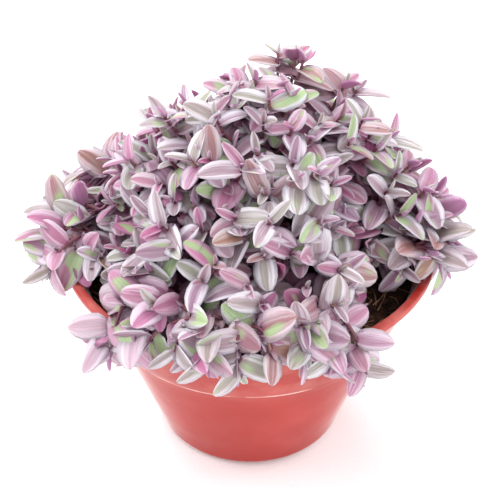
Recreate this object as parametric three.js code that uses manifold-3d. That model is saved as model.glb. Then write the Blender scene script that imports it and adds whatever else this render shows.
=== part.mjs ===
// A potted turtle vine (Callisia repens, pink form): a moulded plastic pan pot, potting mix and rooted shoots.
// Millimetres, +Z up. The origin is the middle of the pot's base, on the surface that it stands on, and -Y is the front.
import * as THREE from "three";
import { mergeVertices } from "three/addons/utils/BufferGeometryUtils.js";
import Module from "manifold-3d";

const wasm = await Module();
wasm.setup();

// ---- Driving dimensions -------------------------------------------------------------------------------------------
const POT_HEIGHT = 84.5;
const RIM_RADIUS = 70;
const RIM_WIDTH = 3.4; // flat top of the lip
const RIM_DEPTH = 2.6;
const COLLAR_TOP_RADIUS = 67.2; // outside of the wall, just under the lip
const COLLAR_FOOT_RADIUS = 56.6;
const COLLAR_FOOT_Z = 55;
const BODY_TOP_RADIUS = 54.6;
const BASE_RADIUS = 35.5;
const BASE_FILLET = 5;
const WALL = 1.6;
const FOOT_RING_INNER = 28;
const CENTRE_PAD_RADIUS = 9;
const BASE_RECESS = 1.2; // the base between pad and foot ring stands clear of the table
const DRAIN_HOLES = 6;
const DRAIN_HOLE_RADIUS = 3.6;
const DRAIN_CIRCLE_RADIUS = 18;
const POT_SIDES = 48;

const GAP = 0.3; // between neighbouring pieces
const FINEST_EDGE = 0.12;
const SOIL_EDGE_Z = 73.5;
const SOIL_CROWN_Z = 77.5;
const PLANTING_DEPTH = 6;

const STEM_RADIUS = 1.05;
const STEM_SIDES = 5;
const STEM_STEPS = 6;
const LEAF_LENGTH = 16.5;
const LEAF_WIDTH = 9.3;
const LEAF_THICKNESS = 1.1;
const INTERNODE = 6.2;
const LEAVES_PER_SHOOT = 8;

const FIELD_SHOOTS = 46;
const PLANTED_SHARE = 0.68; // of the canopy's reach, for the outermost stems
const CANOPY_FOOT_Z = POT_HEIGHT + 4; // of the lowest tips
const CANOPY_HEIGHT = 51; // of the highest tips above the lowest
const CANOPY_PEAK = { x: 3, y: 18 }; // the peak stands behind and to the right of the pot's middle
const GOLDEN_ANGLE = Math.PI * (3 - Math.sqrt(5));
const UP = new THREE.Vector3(0, 0, 1);
const STEM_TURNS = [0, 3, -3, 6, -6, 9, -9, 13, -13]; // tried in turn to keep stems apart, in degrees
const LEAF_TURNS = [0, 25, -25, 50, -50, 80, -80]; // tried in turn to keep a leaf clear, in degrees

const degrees = (angle) => (angle * Math.PI) / 180;
const clamp = THREE.MathUtils.clamp;
const lerp = THREE.MathUtils.lerp;

// A repeatable number from 0 to 1 for shoot or leaf i and purpose k.
function scatter(i, k) {
  const wave = Math.sin(i * 12.9898 + k * 78.233) * 43758.5453;
  return wave - Math.floor(wave);
}

// ---- Solids -------------------------------------------------------------------------------------------------------
function solidFrom(geometry) {
  const bare = geometry.index ? geometry.toNonIndexed() : geometry.clone();
  for (const name of Object.keys(bare.attributes)) {
    if (name !== "position") bare.deleteAttribute(name);
  }
  const merged = mergeVertices(bare, 1e-4);
  return new wasm.Manifold(
    new wasm.Mesh({
      numProp: 3,
      vertProperties: merged.attributes.position.array,
      triVerts: new Uint32Array(merged.index.array),
    }),
  );
}

// The mesh of a solid, with its corners that lie closer together than FINEST_EDGE joined.
function geometryFrom(solid) {
  const mesh = solid.setTolerance(FINEST_EDGE).getMesh();
  const positions = new Float32Array(mesh.numVert * 3);
  for (let i = 0; i < mesh.numVert; i++) {
    positions.set(mesh.vertProperties.subarray(i * mesh.numProp, i * mesh.numProp + 3), i * 3);
  }
  const geometry = new THREE.BufferGeometry();
  geometry.setAttribute("position", new THREE.BufferAttribute(positions, 3));
  geometry.setIndex(new THREE.BufferAttribute(mesh.triVerts, 1));
  geometry.computeVertexNormals();
  return geometry;
}

// A profile of [radius, height] points turned about +Z.
function turned(profile) {
  const points = profile.map(([radius, height]) => new THREE.Vector2(radius, height));
  return new THREE.LatheGeometry(points, POT_SIDES).rotateX(Math.PI / 2);
}

const overlaps = (a, b) => a.intersect(b).volume() > 1e-6;

// ---- Pot ----------------------------------------------------------------------------------------------------------
// Radius of the outside wall at a height, and of the inside wall a wall's thickness in from it.
function outsideRadius(z) {
  if (z >= COLLAR_FOOT_Z) {
    const share = (z - COLLAR_FOOT_Z) / (POT_HEIGHT - RIM_DEPTH - COLLAR_FOOT_Z);
    return lerp(COLLAR_FOOT_RADIUS, COLLAR_TOP_RADIUS, share);
  }
  return lerp(BASE_RADIUS, BODY_TOP_RADIUS, z / COLLAR_FOOT_Z);
}

function insideRadius(z) {
  return outsideRadius(z) - WALL;
}

function potSolid() {
  const lipFoot = POT_HEIGHT - RIM_DEPTH;
  const filletTopRadius = outsideRadius(BASE_FILLET);
  const fillet = [];
  for (let i = 1; i < 4; i++) {
    const turn = (i / 4) * (Math.PI / 2);
    const out = BASE_RADIUS - BASE_FILLET * 0.4;
    fillet.push([
      lerp(out, filletTopRadius, Math.sin(turn)),
      BASE_FILLET * (1 - Math.cos(turn)),
    ]);
  }
  const floorTop = BASE_RECESS + WALL;
  const shell = turned([
    [0, 0],
    [CENTRE_PAD_RADIUS, 0],
    [CENTRE_PAD_RADIUS + BASE_RECESS, BASE_RECESS],
    [FOOT_RING_INNER, BASE_RECESS],
    [FOOT_RING_INNER + BASE_RECESS, 0],
    [BASE_RADIUS - BASE_FILLET * 0.4, 0],
    ...fillet,
    [filletTopRadius, BASE_FILLET],
    [BODY_TOP_RADIUS, COLLAR_FOOT_Z],
    [COLLAR_FOOT_RADIUS, COLLAR_FOOT_Z + 0.6],
    [COLLAR_TOP_RADIUS, lipFoot],
    [RIM_RADIUS - 0.5, lipFoot],
    [RIM_RADIUS, lipFoot + 0.6],
    [RIM_RADIUS, POT_HEIGHT - 0.7],
    [RIM_RADIUS - 0.7, POT_HEIGHT],
    [RIM_RADIUS - RIM_WIDTH + 0.4, POT_HEIGHT],
    [RIM_RADIUS - RIM_WIDTH, POT_HEIGHT - 0.5],
    [COLLAR_TOP_RADIUS - WALL, lipFoot - 1],
    [COLLAR_FOOT_RADIUS - WALL, COLLAR_FOOT_Z + 1.6],
    [BODY_TOP_RADIUS - WALL, COLLAR_FOOT_Z],
    [insideRadius(BASE_FILLET + floorTop), BASE_FILLET + floorTop],
    [insideRadius(floorTop) - BASE_FILLET * 0.5, floorTop],
    [0, floorTop],
  ]);
  let pot = solidFrom(shell);
  for (let i = 0; i < DRAIN_HOLES; i++) {
    const angle = (i / DRAIN_HOLES) * Math.PI * 2;
    const hole = new THREE.CylinderGeometry(DRAIN_HOLE_RADIUS, DRAIN_HOLE_RADIUS, 20, 12)
      .rotateX(Math.PI / 2)
      .translate(DRAIN_CIRCLE_RADIUS * Math.cos(angle), DRAIN_CIRCLE_RADIUS * Math.sin(angle), 0);
    pot = pot.subtract(solidFrom(hole));
  }
  return pot;
}

// ---- Potting mix --------------------------------------------------------------------------------------------------
function soilSurface(radius) {
  const share = clamp(radius / insideRadius(SOIL_EDGE_Z), 0, 1);
  return lerp(SOIL_CROWN_Z, SOIL_EDGE_Z, share * share);
}

function soilSolid() {
  const floor = BASE_RECESS + WALL + GAP;
  const side = (z) => insideRadius(z) - GAP * 2;
  return solidFrom(
    turned([
      [0, floor],
      [side(floor) - BASE_FILLET, floor],
      [side(floor + BASE_FILLET) - 0.6, floor + BASE_FILLET + 1],
      [side(COLLAR_FOOT_Z - 2), COLLAR_FOOT_Z - 2],
      [COLLAR_FOOT_RADIUS - WALL - GAP * 2, COLLAR_FOOT_Z + 2.2],
      [side(SOIL_EDGE_Z) - 1, SOIL_EDGE_Z],
      ...[50, 25].map((radius) => [radius, soilSurface(radius)]),
      [0, SOIL_CROWN_Z],
    ]),
  );
}

// ---- Where the shoots grow ----------------------------------------------------------------------------------------
// A smooth rise of 1 at an azimuth, gone a few widths away from it (both in degrees).
function near(azimuth, centre, width) {
  const apart = Math.atan2(Math.sin(azimuth - degrees(centre)), Math.cos(azimuth - degrees(centre)));
  return Math.exp(-((apart / degrees(width)) ** 2));
}

// How far from the axis the tips reach at an azimuth: full at the sides, less over the front lip and at the back, and
// cut back at the front right and front left, where the lip and the mix stay in view.
function canopyReach(azimuth) {
  const bareLip = 3 * near(azimuth, -90, 35) + 24 * near(azimuth, -42, 14) + 16 * near(azimuth, -152, 15);
  return 70 - bareLip - 17 * near(azimuth, 42, 24) - 9 * near(azimuth, 115, 28);
}

// A point of the dome that the tips make: polar is 0 at the peak and a right angle at the dome's foot. The dome
// draws in faster towards its peak at the back than at the front, is lower at the back right, and falls in to a
// hollow flank at the back left.
function canopyPoint(azimuth, polar) {
  const rise = Math.max(0, Math.cos(polar));
  const reach = canopyReach(azimuth) * Math.sin(polar) * (1 - (0.1 + 0.22 * near(azimuth, 100, 50)) * rise);
  const height = CANOPY_HEIGHT - 16 * near(azimuth, 52, 30) * Math.sin(polar);
  const flank = 11 * near(azimuth, 146, 34) * Math.sin(2 * Math.min(polar, Math.PI / 2));
  return new THREE.Vector3(
    reach * Math.cos(azimuth) + CANOPY_PEAK.x * rise,
    reach * Math.sin(azimuth) + CANOPY_PEAK.y * rise,
    CANOPY_FOOT_Z + height * Math.pow(rise, 1.25) - flank,
  );
}

// The shoots that fill the dome, evenly spread by the golden angle, each aimed at a point of the canopy.
function fieldShoots() {
  const shoots = [];
  for (let i = 0; i < FIELD_SHOOTS; i++) {
    const share = Math.sqrt((i + 0.5) / FIELD_SHOOTS);
    const azimuth = i * GOLDEN_ANGLE + 0.12 * (scatter(i, 1) - 0.5);
    const polar = Math.acos(1 - share * share) + 0.06 * (scatter(i, 2) - 0.5);
    const tip = canopyPoint(azimuth, polar);
    const planted = PLANTED_SHARE * canopyReach(azimuth) * Math.pow(share, 1.15);
    const heading = new THREE.Vector3(
      Math.sin(polar) * Math.cos(azimuth),
      Math.sin(polar) * Math.sin(azimuth),
      Math.cos(polar) + 0.25,
    ).normalize();
    shoots.push({
      name: "shoot_" + String(i + 1).padStart(2, "0"),
      root: new THREE.Vector3(planted * Math.cos(azimuth), planted * Math.sin(azimuth), 0),
      tip,
      heading,
    });
  }
  return shoots;
}

// Longer shoots that lean out of the dome: over the lip at the front and sides, and up out of the back.
// Each is [name, root azimuth and radius, tip azimuth, radius and height over the lip, rise of its last stretch].
const LONG_SHOOTS = [
  ["trailer_front_left", -126, 42, -133, 75, -6, -0.8],
  ["trailer_left", -174, 44, -169, 78, -1, -0.5],
  ["trailer_front_right", -64, 44, -61, 75, -7, -1.0],
  ["trailer_front", -93, 47, -93, 74, -1, -0.9],
  ["trailer_right", -12, 46, -17, 74, 2, -0.8],
  ["trailer_back", 112, 46, 112, 71, 4, -0.5],
  ["trailer_back_right", 48, 44, 46, 70, 8, -0.3],
  ["trailer_back_left", 148, 46, 150, 74, 6, -0.4],
  ["crown_shoot_back", 66, 26, 67, 44, 55, 1.6],
  ["crown_shoot_right", 44, 30, 47, 50, 46, 1.1],
];

function longShoots() {
  return LONG_SHOOTS.map(([name, rootAzimuth, rootRadius, tipAzimuth, tipRadius, overLip, rise]) => {
    const root = new THREE.Vector3(rootRadius, 0, 0).applyAxisAngle(UP, degrees(rootAzimuth));
    const outward = new THREE.Vector3(1, 0, 0).applyAxisAngle(UP, degrees(tipAzimuth));
    const tip = outward.clone().multiplyScalar(tipRadius).setZ(POT_HEIGHT + overLip);
    return { name, root, tip, heading: outward.addScaledVector(UP, rise).normalize() };
  });
}

// A stem's line: straight up out of the soil, then over to its tip, clear of the lip where it hangs outside.
// The whole line is turned about the pot's axis by turn degrees.
function stemCurve({ root, tip, heading }, turn) {
  const start = root.clone().setZ(soilSurface(root.length()) - PLANTING_DEPTH);
  const span = start.distanceTo(tip);
  const rise = start.clone().setZ(start.z + 0.42 * span);
  const approach = tip.clone().addScaledVector(heading, -0.38 * span);
  const outside = Math.hypot(tip.x, tip.y) > RIM_RADIUS - 8;
  if (outside) approach.z = Math.max(approach.z, POT_HEIGHT + 22);
  const points = [start, rise, approach, tip].map((point) => point.clone().applyAxisAngle(UP, degrees(turn)));
  return new THREE.CubicBezierCurve3(...points);
}

// ---- Stems and leaves ---------------------------------------------------------------------------------------------
function stemSolid(curve, radius, steps = STEM_STEPS) {
  const section = new THREE.Shape();
  for (let i = 0; i < STEM_SIDES; i++) {
    const angle = (i / STEM_SIDES) * Math.PI * 2;
    section[i ? "lineTo" : "moveTo"](radius * Math.cos(angle), radius * Math.sin(angle));
  }
  const tube = new THREE.ExtrudeGeometry(section, {
    steps,
    bevelEnabled: false,
    extrudePath: curve,
  });
  return solidFrom(tube);
}

// The hole that a stem's first stretch stands in.
function plantingHole(curve) {
  const [start, next] = curve.getSpacedPoints(STEM_STEPS);
  const along = next.clone().sub(start).normalize();
  const end = start.clone().addScaledVector(along, 2.5 * PLANTING_DEPTH);
  return stemSolid(new THREE.LineCurve3(start.addScaledVector(along, -GAP), end), STEM_RADIUS + 2 * GAP, 1);
}

// A leaf along +X with its upper side facing +Z: a folded, pointed blade, six corners round and one on each side.
function leafGeometry(length, width, thickness) {
  const fold = width * 0.12;
  const droop = length * 0.1;
  const corners = [
    [0, 0, 0],
    [length * 0.26, -width * 0.5, fold],
    [length * 0.64, -width * 0.42, fold],
    [length, 0, -droop],
    [length * 0.64, width * 0.42, fold],
    [length * 0.26, width * 0.5, fold],
    [length * 0.42, 0, thickness * 0.5],
    [length * 0.42, 0, -thickness * 0.5],
  ];
  const faces = [];
  for (let i = 0; i < 6; i++) {
    const next = (i + 1) % 6;
    faces.push(i, next, 6, next, i, 7);
  }
  const geometry = new THREE.BufferGeometry();
  geometry.setAttribute("position", new THREE.Float32BufferAttribute(corners.flat(), 3));
  geometry.setIndex(faces);
  return geometry;
}

// Where a leaf sits: its joint on the stem, its direction and its upper side, turned about the stem by turn.
function leafPlacement(curve, share, turn, pitch) {
  const knots = curve.getSpacedPoints(STEM_STEPS);
  const knot = Math.min(Math.floor(share * STEM_STEPS), STEM_STEPS - 1);
  const joint = knots[knot].clone().lerp(knots[knot + 1], share * STEM_STEPS - knot);
  const along = knots[knot + 1].clone().sub(knots[knot]).normalize();
  const side = new THREE.Vector3().crossVectors(along, new THREE.Vector3(0.31, -0.95, 0.05)).normalize();
  side.applyAxisAngle(along, turn);
  const direction = side.multiplyScalar(Math.sin(pitch)).addScaledVector(along, Math.cos(pitch)).normalize();
  const across = new THREE.Vector3().crossVectors(along, direction).normalize();
  const upper = new THREE.Vector3().crossVectors(direction, across);
  return new THREE.Matrix4().makeBasis(direction, across, upper).setPosition(joint);
}

// The leaves of a shoot from its tip down, as [share of the stem's length, size, pitch from the stem, turn].
function leafPlan(shoot, length) {
  const plan = [];
  for (let k = 0; k < LEAVES_PER_SHOOT; k++) {
    const back = k === 0 ? 0.4 : INTERNODE * (k - 0.35);
    const share = 1 - back / length;
    if (share < 0.3) break;
    const size = Math.min(1, 0.62 + 0.16 * k);
    const pitch = degrees(Math.min(74, 30 + 16 * k));
    const turn = degrees(k * 168 + 360 * scatter(shoot, 5));
    plan.push([share, size, pitch, turn]);
  }
  return plan;
}

// ---- Assembly -----------------------------------------------------------------------------------------------------
const MATERIALS = {
  pot: new THREE.MeshStandardMaterial({ color: 0xc65a4c, roughness: 0.42, metalness: 0 }),
  soil: new THREE.MeshStandardMaterial({ color: 0x2b1d16, roughness: 0.95, metalness: 0 }),
  shoot: new THREE.MeshStandardMaterial({ color: 0xcdb2c4, roughness: 0.5, metalness: 0 }),
};

const plant = new THREE.Group();

function addPiece(name, solid, material) {
  const mesh = new THREE.Mesh(geometryFrom(solid), material);
  mesh.name = name;
  plant.add(mesh);
}

// A solid with its bounding box, so that far pieces need no exact test.
function boxed(solid) {
  const { min, max } = solid.boundingBox();
  return { solid, box: new THREE.Box3(new THREE.Vector3(...min), new THREE.Vector3(...max)) };
}

function clearOf(solid, others) {
  const piece = boxed(solid);
  return others.every((other) => !piece.box.intersectsBox(other.box) || !overlaps(solid, other.solid));
}

// Every stem's line, each turned as far as it needs to pass clear of the pot and of the stems before it.
function growStems(shoots, pot) {
  const placed = [boxed(pot)];
  return shoots.map((shoot) => {
    const curve = STEM_TURNS.map((turn) => stemCurve(shoot, turn)).find((line) =>
      clearOf(stemSolid(line, STEM_RADIUS + GAP), placed),
    );
    if (!curve) throw new Error(shoot.name + " has no clear way up");
    placed.push(boxed(stemSolid(curve, STEM_RADIUS + GAP)));
    return curve;
  });
}

// Adds the leaves to every stem. A leaf that would touch another shoot tries a few turns about its stem, and is
// left out where none is clear.
function growShoots(shoots, curves, pot) {
  const grown = curves.map((curve) => stemSolid(curve, STEM_RADIUS));
  const guards = curves.map((curve) => [boxed(stemSolid(curve, STEM_RADIUS + GAP))]);
  const potGuard = boxed(pot);
  shoots.forEach((shoot, i) => {
    const others = guards.flatMap((list, j) => (j === i ? [] : list)).concat(potGuard);
    const length = curves[i].getLength();
    for (const [share, size, pitch, turn] of leafPlan(i, length)) {
      const blade = leafGeometry(LEAF_LENGTH * size, LEAF_WIDTH * size, LEAF_THICKNESS);
      const guard = leafGeometry(LEAF_LENGTH * size + 1, LEAF_WIDTH * size + 2 * GAP, LEAF_THICKNESS + 2 * GAP);
      const tries = LEAF_TURNS.map((offset) => leafPlacement(curves[i], share, turn + degrees(offset), pitch));
      const place = tries.find((matrix) => clearOf(solidFrom(guard.clone().applyMatrix4(matrix)), others));
      if (!place) continue;
      grown[i] = grown[i].add(solidFrom(blade.applyMatrix4(place)));
      guards[i].push(boxed(solidFrom(guard.applyMatrix4(place))));
    }
  });
  return grown;
}

const pot = potSolid();
const shoots = [...fieldShoots(), ...longShoots()];
const curves = growStems(shoots, pot);
const grown = growShoots(shoots, curves, pot);
const soil = curves.reduce((mix, curve) => mix.subtract(plantingHole(curve)), soilSolid());

addPiece("pot", pot, MATERIALS.pot);
addPiece("potting_mix", soil, MATERIALS.soil);
shoots.forEach((shoot, i) => addPiece(shoot.name, grown[i], MATERIALS.shoot));

export default plant;
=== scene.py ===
"""Builds a potted turtle vine, Callisia repens in its pink form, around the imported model's frame.

The pot, the potting mix, the stems, the leaves and the studio each have an operator, and main
calls them in order. -Y is the front, and the pot stands on the floor at the origin. Lengths are in
metres for the pot, the mix and the studio. Stems and leaves are planned in millimetres.
"""

import math
from collections import namedtuple

import bmesh
import bpy
import numpy as np
from bpy.props import FloatProperty, FloatVectorProperty, IntProperty, PointerProperty
from mathutils import Euler, Matrix, Vector, noise


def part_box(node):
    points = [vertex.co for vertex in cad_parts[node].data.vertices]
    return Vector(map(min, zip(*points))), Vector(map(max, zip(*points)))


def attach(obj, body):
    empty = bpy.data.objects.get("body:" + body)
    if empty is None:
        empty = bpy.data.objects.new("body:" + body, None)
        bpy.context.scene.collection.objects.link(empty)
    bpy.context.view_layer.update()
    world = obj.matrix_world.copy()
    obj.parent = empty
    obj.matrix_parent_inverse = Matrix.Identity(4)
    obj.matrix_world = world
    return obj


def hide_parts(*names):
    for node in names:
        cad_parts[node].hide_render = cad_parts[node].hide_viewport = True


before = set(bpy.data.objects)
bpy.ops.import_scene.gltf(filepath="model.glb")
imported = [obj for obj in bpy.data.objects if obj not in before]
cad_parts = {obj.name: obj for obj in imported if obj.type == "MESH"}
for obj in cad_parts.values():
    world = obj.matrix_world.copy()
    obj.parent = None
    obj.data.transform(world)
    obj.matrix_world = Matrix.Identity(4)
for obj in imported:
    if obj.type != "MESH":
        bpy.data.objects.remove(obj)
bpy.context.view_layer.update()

bl_info = {
    "name": "Potted turtle vine",
    "version": (1, 0, 0),
    "blender": (4, 5, 0),
    "location": "View3D > Sidebar > Turtle vine",
    "description": "Builds a potted turtle vine with its pot, potting mix, stems and leaves",
    "category": "Add Mesh",
}

MM = 0.001
POT_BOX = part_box("pot")
SHOOT_NODES = sorted(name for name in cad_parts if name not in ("pot", "potting_mix"))
BODY = "root"


# ---- Numbers and colours -------------------------------------------------------------------------
def scatter(i, k):
    """A repeatable number from 0 to 1 for shoot or leaf i and purpose k."""
    wave = math.sin(i * 12.9898 + k * 78.233) * 43758.5453
    return wave - math.floor(wave)


def spread(i, k, reach):
    """A repeatable number from -reach to reach."""
    return reach * (2 * scatter(i, k) - 1)


def mix(a, b, share):
    return a + (b - a) * share


def linear(hex_colour):
    """An sRGB hex colour as linear red, green and blue, with an alpha of 1."""
    channels = [int(hex_colour[i : i + 2], 16) / 255 for i in (1, 3, 5)]
    lit = [c / 12.92 if c <= 0.04045 else ((c + 0.055) / 1.055) ** 2.4 for c in channels]
    return (*lit, 1.0)


# ---- Settings ------------------------------------------------------------------------------------
def length(name, description, default_mm):
    return FloatProperty(
        name=name, description=description, default=default_mm * MM, unit="LENGTH", precision=4
    )


def colour(name, description, hex_colour):
    return FloatVectorProperty(
        name=name,
        description=description,
        default=linear(hex_colour),
        size=4,
        subtype="COLOR",
        min=0,
        max=1,
    )


class PotSettings(bpy.types.PropertyGroup):
    lip_width: length("Lip width", "Flat top of the lip", 3.4)
    lip_depth: length("Lip depth", "Height of the lip's outer edge", 2.6)
    collar_foot_height: length("Step height", "Height of the step between collar and body", 55)
    collar_foot_radius: length("Collar foot radius", "Outside radius just above the step", 56.6)
    body_top_radius: length("Body top radius", "Outside radius just below the step", 54.6)
    base_radius: length("Base radius", "Outside radius that the body tapers to", 35.5)
    wall: length("Wall", "Thickness of the moulded wall", 1.6)
    plastic: colour("Plastic", "Colour of the moulded pot", "#a2261d")
    # On the collar this colour stands for a dusting and for a painted reflection of the foliage.
    plastic_dust_and_reflection: colour("Scuffed plastic", "Colour where the plastic is scuffed or dusty", "#dba79c")


class MixSettings(bpy.types.PropertyGroup):
    edge_height: length("Edge height", "Height of the mix at the wall", 73.5)
    crown_height: length("Crown height", "Height of the mix at the middle", 77.5)
    crumb_size: length("Crumb size", "Diameter of the larger crumbs", 2.4)
    crumb_seed: IntProperty(name="Crumb seed", description="Changes where the crumbs lie", default=7)
    peat: colour("Peat", "Colour of the damp peat", "#35231b")
    coir: colour("Coir", "Colour of the coir fibres", "#a27e5c")


class FoliageSettings(bpy.types.PropertyGroup):
    leaf_length: length("Leaf length", "Length of a full-grown leaf", 13.4)
    stem_radius: length("Stem radius", "Radius of a stem at its root", 1.05)
    side_tips: IntProperty(
        name="Side tips", description="Places over the dome where a side shoot may end", default=260
    )
    margin: colour("Margin", "Pale margin of a leaf", "#eae3ee")
    mauve: colour("Mauve", "Middle of a leaf that is more pink than green", "#9f7893")
    sage: colour("Sage", "Middle of a leaf that is more green than pink", "#999b8b")
    bronze: colour("Bronze", "Middle of a leaf that the sun has browned", "#987263")
    fresh_green: colour("Fresh green", "Flushes of unstriped green", "#a3bd8b")
    rose: colour("Rose", "Leaves that the sun has turned pink", "#b2658f")
    underside: colour("Underside", "Lower side of a leaf", "#b084a6")
    # Deep in the canopy, plum also stands in for painted shade as well as the colour of old leaves.
    plum: colour("Plum", "Old and shaded leaves, and where a leaf clasps its stem", "#8d4a6f")
    stem: colour("Stem", "Colour of the stems", "#7c4653")


class TurtleVineSettings(bpy.types.PropertyGroup):
    pot: PointerProperty(type=PotSettings)
    mix: PointerProperty(type=MixSettings)
    foliage: PointerProperty(type=FoliageSettings)


# ---- Node and mesh helpers -----------------------------------------------------------------------
def add(tree, kind, inputs=None, stops=None, **settings):
    """Adds a node with its settings. An input is a value or the socket that feeds it, by name or number."""
    node = tree.nodes.new(kind)
    for name, value in settings.items():
        setattr(node, name, value)
    for key, value in (inputs or {}).items():
        if isinstance(value, bpy.types.NodeSocket):
            tree.links.new(value, node.inputs[key])
        else:
            node.inputs[key].default_value = value
    if stops:
        ramp = node.color_ramp
        while len(ramp.elements) < len(stops):
            ramp.elements.new(1.0)
        for element, (place, shade) in zip(ramp.elements, stops):
            element.position, element.color = place, shade
    return node


def new_material(name, principled):
    """A material with constants set on its Principled shader. Gives it, its tree and the shader."""
    material = bpy.data.materials.new(name)
    material.use_nodes = True
    shader = material.node_tree.nodes["Principled BSDF"]
    for socket, value in principled.items():
        shader.inputs[socket].default_value = value
    return material, material.node_tree, shader


def mesh_object(name, vertices, faces=(), edges=()):
    mesh = bpy.data.meshes.new(name)
    mesh.from_pydata([tuple(v) for v in vertices], edges, faces)
    mesh.update()
    made = bpy.data.objects.new(name, mesh)
    bpy.context.scene.collection.objects.link(made)
    return made


def put_attribute(mesh, name, kind, values):
    attribute = mesh.attributes.new(name, kind, "POINT")
    field = "vector" if kind == "FLOAT_VECTOR" else "value"
    attribute.data.foreach_set(field, np.asarray(values, float if kind != "INT" else int).ravel())


def node_group(name, **sizes):
    """A geometry tree with a Geometry input and output, and one named input per size."""
    tree = bpy.data.node_groups.new(name, "GeometryNodeTree")
    tree.interface.new_socket(name="Geometry", in_out="INPUT", socket_type="NodeSocketGeometry")
    for label, kind in sizes.items():
        tree.interface.new_socket(
            name=label.replace("_", " "), in_out="INPUT", socket_type="NodeSocket" + kind
        )
    tree.interface.new_socket(name="Geometry", in_out="OUTPUT", socket_type="NodeSocketGeometry")
    return tree, tree.nodes.new("NodeGroupInput").outputs


def grown_mesh(source, tree, values):
    """Runs a geometry tree on an object, gives the result as a plain mesh and removes the modifier."""
    modifier = source.modifiers.new(tree.name, "NODES")
    modifier.node_group = tree
    for item in tree.interface.items_tree:
        if item.in_out == "INPUT" and item.name in values:
            modifier[item.identifier] = values[item.name]
    depsgraph = bpy.context.evaluated_depsgraph_get()
    mesh = bpy.data.meshes.new_from_object(source.evaluated_get(depsgraph), depsgraph=depsgraph)
    source.modifiers.remove(modifier)
    return mesh


def finish_piece(piece, slot, *replaced):
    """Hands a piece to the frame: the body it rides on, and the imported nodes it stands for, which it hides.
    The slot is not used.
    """
    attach(piece, BODY)
    if replaced:
        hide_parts(*replaced)


def smooth(mesh, sharp_angle):
    """Shades a mesh smooth, apart from edges that turn by more than so many degrees."""
    mesh.shade_smooth()
    mesh.set_sharp_from_angle(angle=math.radians(sharp_angle))


def turned(name, profile, sides):
    """A closed mesh of a profile of (radius, height), which starts and ends on the axis, turned about +Z."""
    rings = profile[1:-1]
    turns = [2 * math.pi * i / sides for i in range(sides)]
    vertices = [(r * math.cos(a), r * math.sin(a), z) for r, z in rings for a in turns]
    first, last = len(vertices), len(vertices) + 1
    vertices += [(0, 0, profile[0][1]), (0, 0, profile[-1][1])]
    faces = []
    for i in range(sides):
        j = (i + 1) % sides
        faces.append((first, j, i))
        for ring in range(len(rings) - 1):
            a, b = ring * sides, (ring + 1) * sides
            faces.append((a + i, a + j, b + j, b + i))
        top = (len(rings) - 1) * sides
        faces.append((top + i, top + j, last))
    return mesh_object(name, vertices, faces)


# ---- Pot -----------------------------------------------------------------------------------------
COLLAR_TOP_RADIUS = POT_BOX[1].x - 2.8 * MM
BASE_FILLET = 5 * MM
BASE_RECESS = 1.2 * MM
CENTRE_PAD_RADIUS = 9 * MM
FOOT_RING_INNER = 28 * MM
DRAIN_HOLES = 6
DRAIN_HOLE_RADIUS = 3.6 * MM
DRAIN_CIRCLE_RADIUS = 18 * MM
POT_SIDES = 160


def outside_radius(pot, z):
    """Outside radius of the pot's wall at a height."""
    if z >= pot.collar_foot_height:
        top = POT_BOX[1].z - pot.lip_depth
        share = (z - pot.collar_foot_height) / (top - pot.collar_foot_height)
        return mix(pot.collar_foot_radius, COLLAR_TOP_RADIUS, min(1, share))
    return mix(pot.base_radius, pot.body_top_radius, z / pot.collar_foot_height)


def arc(centre, radius, start, end, steps):
    """Points (radius, height) round a corner, from a start to an end angle in degrees."""
    angles = [math.radians(mix(start, end, i / steps)) for i in range(steps + 1)]
    return [(centre[0] + radius * math.cos(a), centre[1] + radius * math.sin(a)) for a in angles]


def pot_profile(pot):
    """The pot's section: from the base's middle up the outside, over the lip and down the inside."""
    top, lip_foot = POT_BOX[1].z, POT_BOX[1].z - pot.lip_depth
    rim, step = POT_BOX[1].x, pot.collar_foot_height
    edge = 0.7 * MM
    floor = BASE_RECESS + pot.wall
    base_corner = (outside_radius(pot, BASE_FILLET) - BASE_FILLET, BASE_FILLET)
    profile = [(0, 0), (CENTRE_PAD_RADIUS, 0), (CENTRE_PAD_RADIUS + BASE_RECESS, BASE_RECESS)]
    profile += [(FOOT_RING_INNER - 1 * MM, BASE_RECESS), (FOOT_RING_INNER + BASE_RECESS, 0)]
    profile += arc(base_corner, BASE_FILLET, -82, -14, 6)
    body_heights = np.linspace(BASE_FILLET + 2 * MM, step - 0.5 * MM, 9)
    profile += [(outside_radius(pot, z), z) for z in body_heights]
    profile += [(pot.body_top_radius + 0.1 * MM, step - 0.15 * MM)]
    profile += [(pot.body_top_radius + 0.5 * MM, step)]
    profile += arc((pot.collar_foot_radius - 0.55 * MM, step + 0.6 * MM), 0.6 * MM, -80, 10, 4)
    collar_heights = np.linspace(step + 1.6 * MM, lip_foot - 1 * MM, 7)
    profile += [(outside_radius(pot, z), z) for z in collar_heights]
    profile += [(COLLAR_TOP_RADIUS + 0.5 * MM, lip_foot)]
    profile += arc((rim - edge, lip_foot + edge), edge, -90, 0, 4)
    profile += arc((rim - edge, top - edge), edge, 0, 90, 4)
    profile += arc((rim - pot.lip_width + edge, top - edge), edge, 90, 180, 4)
    profile += [(COLLAR_TOP_RADIUS - pot.wall, lip_foot - 1 * MM)]
    inner_collar_heights = (74 * MM, 66 * MM, step + 1.6 * MM)
    profile += [(outside_radius(pot, z) - pot.wall, z) for z in inner_collar_heights]
    profile += [(pot.body_top_radius - pot.wall, step)]
    inner_body_heights = (35 * MM, 20 * MM, BASE_FILLET + floor)
    profile += [(outside_radius(pot, z) - pot.wall, z) for z in inner_body_heights]
    return profile + [(outside_radius(pot, floor) - pot.wall - BASE_FILLET / 2, floor), (0, floor)]


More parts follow.
